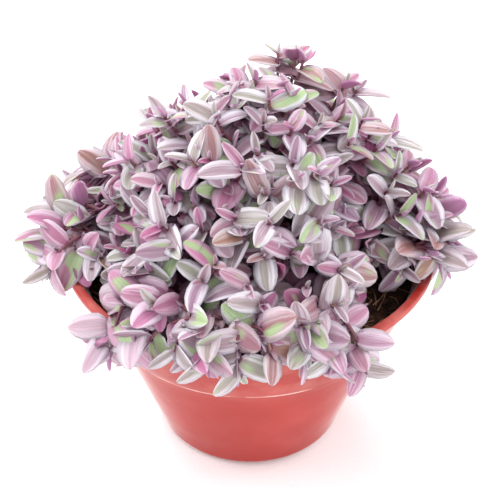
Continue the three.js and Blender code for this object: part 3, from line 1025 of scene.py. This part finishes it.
def leaf_tree(forms, upper, lower):
    """Puts the numbered leaf form on every joint, turned and sized by the joint's own values."""
    tree, given = node_group("leaves on joints", Leaf_length="Float")
    shapes = add(tree, "GeometryNodeCollectionInfo", {"Separate Children": True, "Reset Children": True})
    shapes.inputs["Collection"].default_value = forms
    read = {
        name: add(tree, "GeometryNodeInputNamedAttribute", {0: name}, data_type=kind).outputs[0]
        for name, kind in (("leaf_turn", "FLOAT_VECTOR"), ("leaf_size", "FLOAT"), ("leaf_shape", "INT"))
    }
    size = add(
        tree, "ShaderNodeMath", {0: read["leaf_size"], 1: given["Leaf length"]}, operation="MULTIPLY"
    ).outputs[0]
    turn = add(tree, "FunctionNodeEulerToRotation", {0: read["leaf_turn"]}).outputs[0]
    placed = add(
        tree,
        "GeometryNodeInstanceOnPoints",
        {
            "Points": given["Geometry"],
            "Instance": shapes.outputs[0],
            "Pick Instance": True,
            "Instance Index": read["leaf_shape"],
            "Rotation": turn,
            "Scale": size,
        },
    ).outputs[0]
    real = add(tree, "GeometryNodeRealizeInstances", {0: placed}).outputs[0]
    under = add(
        tree, "GeometryNodeInputNamedAttribute", {0: "leaf_under"}, data_type="BOOLEAN"
    ).outputs[0]
    topped = add(tree, "GeometryNodeSetMaterial", {0: real, "Material": upper}).outputs[0]
    dressed = add(
        tree, "GeometryNodeSetMaterial", {0: topped, "Selection": under, "Material": lower}
    ).outputs[0]
    add(tree, "NodeGroupOutput", {0: dressed})
    return tree


def leaf_chart(tree):
    """What the leaf materials read: the place on the blade, how far it is off the middle of the leaf's
    width, and the leaf's own seed, share of green, shade, and middle and margin colours.
    """
    place = add(tree, "ShaderNodeUVMap", uv_map="UVMap").outputs[0]
    across, along, _ = add(tree, "ShaderNodeSeparateXYZ", {0: place}).outputs
    doubled = add(tree, "ShaderNodeMath", {0: across, 1: 2.0, 2: -1.0}, operation="MULTIPLY_ADD").outputs[0]
    off_middle = add(tree, "ShaderNodeMath", {0: doubled}, operation="ABSOLUTE").outputs[0]
    traits = add(tree, "ShaderNodeAttribute", attribute_name="leaf_traits").outputs["Vector"]
    seed, green, shade = add(tree, "ShaderNodeSeparateXYZ", {0: traits}).outputs
    heart = add(tree, "ShaderNodeAttribute", attribute_name="leaf_heart").outputs["Color"]
    margin = add(tree, "ShaderNodeAttribute", attribute_name="leaf_margin").outputs["Color"]
    return across, along, off_middle, seed, green, shade, heart, margin


def streaks(tree, across, along, seed, lines, waver=0.35, detail=1.0):
    """Parallel veins: noise drawn out along the blade, with so many streaks across it."""
    wide = add(tree, "ShaderNodeMath", {0: across, 1: lines}, operation="MULTIPLY").outputs[0]
    drawn = add(tree, "ShaderNodeMath", {0: along, 1: waver}, operation="MULTIPLY").outputs[0]
    apart = add(tree, "ShaderNodeMath", {0: seed, 1: 57.0 + lines}, operation="MULTIPLY").outputs[0]
    place = add(tree, "ShaderNodeCombineXYZ", {0: wide, 1: drawn, 2: apart}).outputs[0]
    return add(tree, "ShaderNodeTexNoise", {"Vector": place, "Scale": 1.0, "Detail": detail}).outputs["Fac"]


def finish_leaf_skin(tree, shader, colour, shade, veins):
    """Darkens a leaf colour along its fine veins and by the leaf's own shade, and raises the veins."""
    lined = add(
        tree,
        "ShaderNodeMapRange",
        {"Value": veins, "From Min": 0.3, "From Max": 0.7, "To Min": 0.8, "To Max": 1.1},
    ).outputs["Result"]
    depth = add(tree, "ShaderNodeMath", {0: lined, 1: shade}, operation="MULTIPLY").outputs[0]
    shaded = add(tree, "ShaderNodeVectorMath", {0: colour, "Scale": depth}, operation="SCALE").outputs[0]
    tree.links.new(shaded, shader.inputs["Base Color"])
    bump = add(tree, "ShaderNodeBump", {"Height": veins, "Strength": 0.4, "Distance": 0.0003})
    tree.links.new(bump.outputs["Normal"], shader.inputs["Normal"])


def leaf_upper_skin(foliage):
    """A leaf's upper side: waxy satin skin with a dusky, veined middle and a ragged pale margin."""
    material, tree, shader = new_material(
        "leaf_upper",
        {
            "Roughness": 0.38,
            "IOR": 1.42,
            "Subsurface Weight": 0.22,
            "Subsurface Scale": 0.0016,
            "Subsurface Radius": (1.0, 0.55, 0.6),
        },
    )
    across, along, off_middle, seed, green, shade, heart, margin = leaf_chart(tree)
    # The margin's colour runs inwards along some veins.
    veins = streaks(tree, across, along, seed, 6.0, waver=0.8, detail=2.0)
    ragged = add(tree, "ShaderNodeMath", {0: veins, 1: 2.0, 2: off_middle}, operation="MULTIPLY_ADD").outputs[0]
    framed = add(
        tree,
        "ShaderNodeMapRange",
        {"Value": ragged, "From Min": 1.05, "From Max": 1.95, "To Max": 0.9},
        interpolation_type="SMOOTHSTEP",
    ).outputs["Result"]
    ground = add(tree, "ShaderNodeMix", {"Factor": framed, 6: heart, 7: margin}, data_type="RGBA").outputs[2]
    # A flush of fresh green fills more of the middle the greener the leaf is.
    flush = streaks(tree, across, along, seed, 1.7, waver=1.1, detail=0.0)
    raised = add(tree, "ShaderNodeMath", {0: green, 1: 0.5, 2: flush}, operation="MULTIPLY_ADD").outputs[0]
    flushed = add(
        tree,
        "ShaderNodeMapRange",
        {"Value": raised, "From Min": 0.76, "From Max": 0.9, "To Max": 0.9},
        interpolation_type="SMOOTHSTEP",
    ).outputs["Result"]
    inside = add(
        tree,
        "ShaderNodeMapRange",
        {"Value": off_middle, "From Min": 0.45, "From Max": 0.8, "To Min": 1.0, "To Max": 0.0},
        interpolation_type="SMOOTHSTEP",
    ).outputs["Result"]
    green_here = add(tree, "ShaderNodeMath", {0: flushed, 1: inside}, operation="MULTIPLY").outputs[0]
    greened = add(
        tree,
        "ShaderNodeMix",
        {"Factor": green_here, 6: ground, 7: tuple(foliage.fresh_green)},
        data_type="RGBA",
    ).outputs[2]
    # The clasping base is plum.
    clasp = add(
        tree,
        "ShaderNodeMapRange",
        {"Value": along, "From Min": 0.02, "From Max": 0.22, "To Min": 0.6, "To Max": 0.0},
    ).outputs["Result"]
    based = add(
        tree, "ShaderNodeMix", {"Factor": clasp, 6: greened, 7: tuple(foliage.plum)}, data_type="RGBA"
    ).outputs[2]
    fine = streaks(tree, across, along, seed, 24.0, waver=0.6, detail=2.0)
    finish_leaf_skin(tree, shader, based, shade, fine)
    return material


def leaf_lower_skin(foliage):
    """A leaf's lower side: smooth plum with a paler margin."""
    material, tree, shader = new_material(
        "leaf_lower",
        {
            "Roughness": 0.42,
            "IOR": 1.42,
            "Subsurface Weight": 0.22,
            "Subsurface Scale": 0.0016,
            "Subsurface Radius": (1.0, 0.45, 0.6),
        },
    )
    across, along, off_middle, seed, _green, shade, _heart, margin = leaf_chart(tree)
    rim = add(
        tree,
        "ShaderNodeMapRange",
        {"Value": off_middle, "From Min": 0.6, "From Max": 1.0, "To Max": 0.5},
        interpolation_type="SMOOTHSTEP",
    ).outputs["Result"]
    rimmed = add(
        tree, "ShaderNodeMix", {"Factor": rim, 6: tuple(foliage.underside), 7: margin}, data_type="RGBA"
    ).outputs[2]
    fine = streaks(tree, across, along, seed, 16.0, waver=0.6, detail=2.0)
    finish_leaf_skin(tree, shader, rimmed, shade, fine)
    return material


# From a tip back: distance in millimetres, size, and angle from the stem in degrees.
TIP_LEAVES = [
    (0.2, 0.42, 16),
    (0.9, 0.74, 42),
    (2.2, 0.94, 56),
    (4.4, 1.04, 66),
    (7.5, 1.08, 74),
    (11.5, 1.08, 80),
    (16.5, 1.04, 84),
    (22.0, 1.0, 87),
]
INTERNODE = 3.2
YOUNG_LEAVES = 3  # counted from the tip, before age and painted shade turn them plum


CROWN_LEAFY = 12  # a crown shoot has leaves only this far back from its tip
BARE_ROOT = 12
BARE_BRANCH_BASE = 6
TURN_PER_LEAF = math.radians(212)
TURN_TRIES = (0, 28, -28, 55, -55, 85)  # degrees
LEAF_GAP = 3.0
YOUNG_LEAF_GAP = 0.9

# How far a leaf's points keep from the pot and the mix, in millimetres.
FLOOR_GAP = 3
LIP_GAP = 0.7
LIP_DEPTH = 4
LIP_INNER_GAP = 4.4
WALL_GAP = 1.0
INNER_WALL_GAP = 2.4
MIX_GAP = 1.2


def leaf_stations(strand):
    """Distances back from the tip, sizes and angles of a strand's leaves."""
    if strand.crown:
        return [station for station in TIP_LEAVES if station[0] < CROWN_LEAFY]
    end = strand.length - BARE_BRANCH_BASE
    stations = [station for station in TIP_LEAVES if station[0] < end]
    if strand.main:
        distance = TIP_LEAVES[-1][0] + INTERNODE
        while distance < strand.length - BARE_ROOT:
            stations.append((distance, 1.0, 86))
            distance += INTERNODE
    return stations


def in_the_way(point, pot, mix_settings):
    """Whether a point, in millimetres, is in the pot's wall, in the mix or below the floor."""
    reach, z = math.hypot(point.x, point.y), point.z
    if z < FLOOR_GAP:
        return True
    if z > LIP_Z + LIP_GAP:
        return False
    lip, wall = POT_BOX[1].x / MM, outside_radius(pot, z * MM) / MM
    if z > LIP_Z - LIP_DEPTH:
        return lip - LIP_INNER_GAP < reach < lip + WALL_GAP
    if reach < wall - INNER_WALL_GAP:
        return z < mix_height(mix_settings, pot, reach * MM) / MM + MIX_GAP
    return reach < wall + WALL_GAP


def leaf_axes(along, side, pitch, age, outward, roll):
    """The directions along, across and up from a leaf that leaves its stem at an angle."""
    direction = (along * math.cos(pitch) + side * math.sin(pitch)).normalized()
    direction.z = direction.z * mix(1.0, 0.5, age) - 0.06 * age
    direction.normalize()
    inner = along * math.sin(pitch) - side * math.cos(pitch)
    light = Vector((0, -0.32, 0.9)) + outward * 0.26
    up = inner * mix(0.9, 0.25, age) + light * mix(0.6, 1.1, age)
    up = (up - direction * up.dot(direction)).normalized()
    up = Matrix.Rotation(roll, 3, direction) @ up
    return direction, up.cross(direction), up


Leaf = namedtuple("Leaf", "joint axes size form heart margin traits piece")


def plan_leaves(vine):
    """Every leaf, each clear of the pot, the mix and the leaves before it."""
    size_mm = vine.foliage.leaf_length / MM
    half_width = 0.25 * size_mm
    leaves, centres = [], np.zeros((0, 3))
    for strand in all_strands(vine.foliage):
        first_turn = 2 * math.pi * scatter(strand.seed, 5)
        for k, (distance, size, angle) in enumerate(leaf_stations(strand)):
            seed = strand.seed * 17 + k
            joint, along = strand.at(distance)
            outward = Vector((joint.x, joint.y, 0.4 * (joint.z - LIP_Z + 12)))
            outward = outward.normalized() if outward.length > 1 else Vector((0, 0, 1))
            age = min(1.0, k / 4 + (0.75 if strand.crown else 0.0))
            lead = along.orthogonal().normalized()
            size *= mix(0.78, 1.18, scatter(seed, 21)) * (1.1 if strand.crown else 1.0)
            for attempt in TURN_TRIES:
                turn = first_turn + k * TURN_PER_LEAF + math.radians(attempt) + spread(seed, 22, 0.3)
                side = Matrix.Rotation(turn, 3, along) @ lead
                pitch = math.radians(angle + spread(seed, 23, 9))
                roll = spread(seed, 24, math.radians(24))
                axes = leaf_axes(along, side, pitch, age, outward, roll)
                middle = joint + axes[0] * size_mm * size * 0.5
                tip = joint + axes[0] * size_mm * size
                edge = axes[1] * half_width * size
                probes = (tip, middle, middle + edge, middle - edge)
                if any(in_the_way(probe, vine.pot, vine.mix) for probe in probes):
                    continue
                gap = LEAF_GAP if k > 2 else YOUNG_LEAF_GAP
                if len(centres) and np.min(np.linalg.norm(centres - np.array(middle), axis=1)) < gap:
                    continue
                centres = np.vstack([centres, np.array(middle)])
                form, piece = form_for(k, seed), leaf_group(strand, k)
                colours = leaf_colours(vine.foliage, joint, seed, k, strand)
                leaves.append(Leaf(joint, axes, size, form, *colours, piece))
                break
    return leaves


def form_for(k, seed):
    """The folded forms are for the youngest leaves, and the open ones for the rest."""
    if k < 2:
        return 0
    if k < 3:
        return 1
    return 1 + int(5 * scatter(seed, 25)) % 5


# Each draw under or over one of these gives a leaf its own colouring.
BRONZE_UNDER = 0.12
FLUSHED_OVER = 0.72
PINK_OVER = 0.95


def leaf_colours(foliage, joint, seed, k, strand):
    """A leaf's middle and margin colours, and its seed, share of fresh green and shade."""
    mauve, sage, bronze, rose, margin, plum = (
        Vector(getattr(foliage, tone)[:3])
        for tone in ("mauve", "sage", "bronze", "rose", "margin", "plum")
    )
    heart = mauve.lerp(sage, scatter(seed, 41))
    margin = margin.lerp(heart, 0.3 * scatter(seed, 42))
    draw = scatter(seed, 43) + (0.1 if -52 < joint.x < -18 else 0.0)
    if draw > PINK_OVER:
        heart, margin = rose, rose.lerp(margin, 0.6 * scatter(seed, 44))
    elif draw > FLUSHED_OVER:
        heart, margin = heart.lerp(rose, 0.65), margin.lerp(rose, 0.25)
    elif draw < BRONZE_UNDER:
        heart, margin = bronze.lerp(mauve, 0.5 * scatter(seed, 44)), margin.lerp(bronze, 0.25)
    shade = mix(0.86, 1.0, scatter(seed, 45))
    # Leaves further back along a stem move towards plum: partly their age, partly painted shade deep in the
    # canopy.
    shaded = min(1.0, max(0, k - YOUNG_LEAVES) / 3) * (0.35 if strand.trailer else 1.0)
    heart, margin = heart.lerp(plum, 0.9 * shaded), margin.lerp(plum, 0.8 * shaded)
    if strand.name == "trailer_front_left":
        heart, margin = heart.lerp(margin, 0.5).lerp(rose, 0.3), margin.lerp(rose, 0.1)
    green = 0.3 * scatter(seed, 46) if scatter(seed, 47) < 0.86 else mix(0.45, 0.95, scatter(seed, 46))
    return heart, margin, (scatter(seed, 48), green, shade)


def leaf_group(strand, k):
    if strand.trailer:
        return "leaves_trailing"
    if strand.main:
        return "leaves_inner" if k > YOUNG_LEAVES else "leaves_main_tips"
    return "leaves_side_front" if strand.points[-1].y < 0 else "leaves_side_back"


class VINE_OT_leaves(bpy.types.Operator):
    """Sets the leaves on every stem, in their growing order from tip to root"""

    bl_idname = "turtle_vine.leaves"
    bl_label = "Leaves"

    def execute(self, context):
        vine = context.scene.turtle_vine
        forms = bpy.data.collections.new("leaf forms")
        context.scene.collection.children.link(forms)
        shapes = []
        for i, form in enumerate(LEAF_FORMS):
            shape = leaf_form(f"leaf_form_{i}", *form)
            context.scene.collection.objects.unlink(shape)
            forms.objects.link(shape)
            shapes.append(shape)
        tree = leaf_tree(forms, leaf_upper_skin(vine.foliage), leaf_lower_skin(vine.foliage))
        leaves = plan_leaves(vine)
        for piece_name in sorted({leaf.piece for leaf in leaves}):
            group = [leaf for leaf in leaves if leaf.piece == piece_name]
            piece = mesh_object(piece_name, [leaf.joint * MM for leaf in group])
            turns = [Matrix(leaf.axes).transposed().to_euler() for leaf in group]
            kept = (
                ("leaf_turn", "FLOAT_VECTOR", [tuple(turn) for turn in turns]),
                ("leaf_size", "FLOAT", [leaf.size for leaf in group]),
                ("leaf_shape", "INT", [leaf.form for leaf in group]),
                ("leaf_heart", "FLOAT_VECTOR", [tuple(leaf.heart) for leaf in group]),
                ("leaf_margin", "FLOAT_VECTOR", [tuple(leaf.margin) for leaf in group]),
                ("leaf_traits", "FLOAT_VECTOR", [leaf.traits for leaf in group]),
            )
            for name, kind, values in kept:
                put_attribute(piece.data, name, kind, values)
            mesh = grown_mesh(piece, tree, {"Leaf length": vine.foliage.leaf_length})
            piece.data = mesh
            mesh.shade_smooth()
            finish_piece(piece, "shoots")
        for shape in shapes:
            bpy.data.objects.remove(shape)
        bpy.data.collections.remove(forms)
        return {"FINISHED"}


# ---- Studio --------------------------------------------------------------------------------------
CAMERA_ELEVATION = 36.3
CAMERA_DISTANCE = 0.5
AIM_BELOW_RIM = 0.54  # degrees
LENS_MM = 95.6

# Each light is its place, its size and its power in watts. All look at a point over the rim.
LIT_OVER_RIM = 20 * MM
LIGHTS = {
    "window_back": ((-0.5, 1.1, 1.5), 1.6, 31),
    "window_left": ((-1.4, 0.1, 1.1), 1.4, 18),
    "window_right": ((1.4, 0.4, 1.0), 1.2, 13),
    "fill_front": ((0.9, -1.4, 0.9), 1.6, 13),
}


class VINE_OT_studio(bpy.types.Operator):
    """Lays the pale floor and sets the soft lights and the camera"""

    bl_idname = "turtle_vine.studio"
    bl_label = "Studio"

    def execute(self, context):
        scene = context.scene
        corners = [(-4, -4, 0), (4, -4, 0), (4, 4, 0), (-4, 4, 0)]
        floor = mesh_object("studio_floor", corners, [(0, 1, 2, 3)])
        material, tree, shader = new_material(
            "matt_white_paper", {"Roughness": 0.9, "Specular IOR Level": 0.1}
        )
        place = add(tree, "ShaderNodeTexCoord").outputs["Object"]
        fibre = add(tree, "ShaderNodeTexNoise", {"Vector": place, "Scale": 900.0}).outputs["Fac"]
        stops = [(0.3, linear("#f4f4f5")), (0.7, linear("#f9f9fa"))]
        shade = add(tree, "ShaderNodeValToRGB", {"Fac": fibre}, stops=stops).outputs["Color"]
        tree.links.new(shade, shader.inputs["Base Color"])
        floor.data.materials.append(material)
        world = bpy.data.worlds.new("white room")
        world.use_nodes = True
        world.node_tree.nodes["Background"].inputs["Color"].default_value = linear("#ffffff")
        world.node_tree.nodes["Background"].inputs["Strength"].default_value = 1.0
        scene.world = world
        target = Vector((0, 0, POT_BOX[1].z + LIT_OVER_RIM))
        for name, (spot, size, power) in LIGHTS.items():
            lamp = bpy.data.lights.new(name, "AREA")
            lamp.size, lamp.energy = size, power
            holder = bpy.data.objects.new(name, lamp)
            holder.location = spot
            holder.rotation_euler = (target - Vector(spot)).to_track_quat("-Z", "Y").to_euler()
            scene.collection.objects.link(holder)
        camera = bpy.data.cameras.new("camera")
        camera.lens, camera.sensor_width = LENS_MM, 36
        camera.clip_start = 0.01
        holder = bpy.data.objects.new("camera", camera)
        tilt = math.radians(CAMERA_ELEVATION)
        away, up = CAMERA_DISTANCE * math.cos(tilt), CAMERA_DISTANCE * math.sin(tilt)
        holder.location = (0, -away, POT_BOX[1].z + up)
        holder.rotation_euler = Euler((math.radians(90 - CAMERA_ELEVATION - AIM_BELOW_RIM), 0, 0))
        scene.collection.objects.link(holder)
        scene.camera = holder
        scene.view_settings.view_transform = "Standard"
        return {"FINISHED"}


# ---- Panel and registration ----------------------------------------------------------------------
OPERATORS = (VINE_OT_pot, VINE_OT_mix, VINE_OT_stems, VINE_OT_leaves, VINE_OT_studio)


class VINE_PT_panel(bpy.types.Panel):
    """Lists the steps that build the plant"""

    bl_label = "Turtle vine"
    bl_idname = "VINE_PT_panel"
    bl_space_type = "VIEW_3D"
    bl_region_type = "UI"
    bl_category = "Turtle vine"

    def draw(self, context):
        vine = context.scene.turtle_vine
        for operator in OPERATORS:
            self.layout.operator(operator.bl_idname)
        for group in (vine.pot, vine.mix, vine.foliage):
            box = self.layout.box()
            for name in group.__annotations__:
                box.prop(group, name)


CLASSES = (PotSettings, MixSettings, FoliageSettings, TurtleVineSettings, *OPERATORS, VINE_PT_panel)


def register():
    for item in CLASSES:
        bpy.utils.register_class(item)
    bpy.types.Scene.turtle_vine = PointerProperty(type=TurtleVineSettings)


def unregister():
    del bpy.types.Scene.turtle_vine
    for item in reversed(CLASSES):
        bpy.utils.unregister_class(item)


def main():
    register()
    bpy.ops.turtle_vine.studio()
    bpy.ops.turtle_vine.pot()
    bpy.ops.turtle_vine.mix()
    bpy.ops.turtle_vine.stems()
    bpy.ops.turtle_vine.leaves()
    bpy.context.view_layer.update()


if __name__ == "__main__":
    main()
